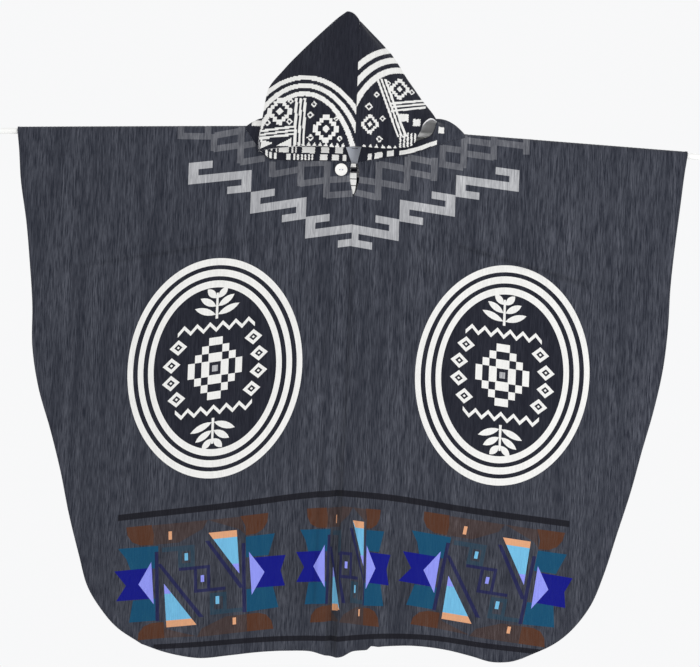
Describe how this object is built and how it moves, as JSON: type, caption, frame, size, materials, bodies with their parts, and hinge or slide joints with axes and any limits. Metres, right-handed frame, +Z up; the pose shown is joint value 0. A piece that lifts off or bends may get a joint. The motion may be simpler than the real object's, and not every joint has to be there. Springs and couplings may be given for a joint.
{
  "type": "hooded wool poncho on a hanging rod",
  "caption": "Hooded pullover poncho of thick woven wool, hung open-sided over a plain rod, with a buttoned neck slit and a standing pointed hood.",
  "frame": {"origin": "the middle of the rod's axis, where the rod is held, inside the hood's base", "axes": "+X to the viewer's right along the rod, the front of the poncho faces -Y, +Z up"},
  "size_m": [1.4204, 0.0782, 1.2611],
  "materials": {
    "wool_cloth": "dark navy-charcoal heathered double cloth with woven pale motifs, matt and slightly napped",
    "button": "satin white",
    "cord": "dark twisted cord, matt",
    "label": "blank pale woven ribbon",
    "rod": "white satin paint"
  },
  "bodies": {
    "root": {"panel_left": "wool_cloth", "panel_right": "wool_cloth", "hood_left": "wool_cloth", "hood_right": "wool_cloth", "button": "button", "button_loop": "cord", "neck_label": "label", "hanging_rod": "rod"}
  },
  "joints": []
}
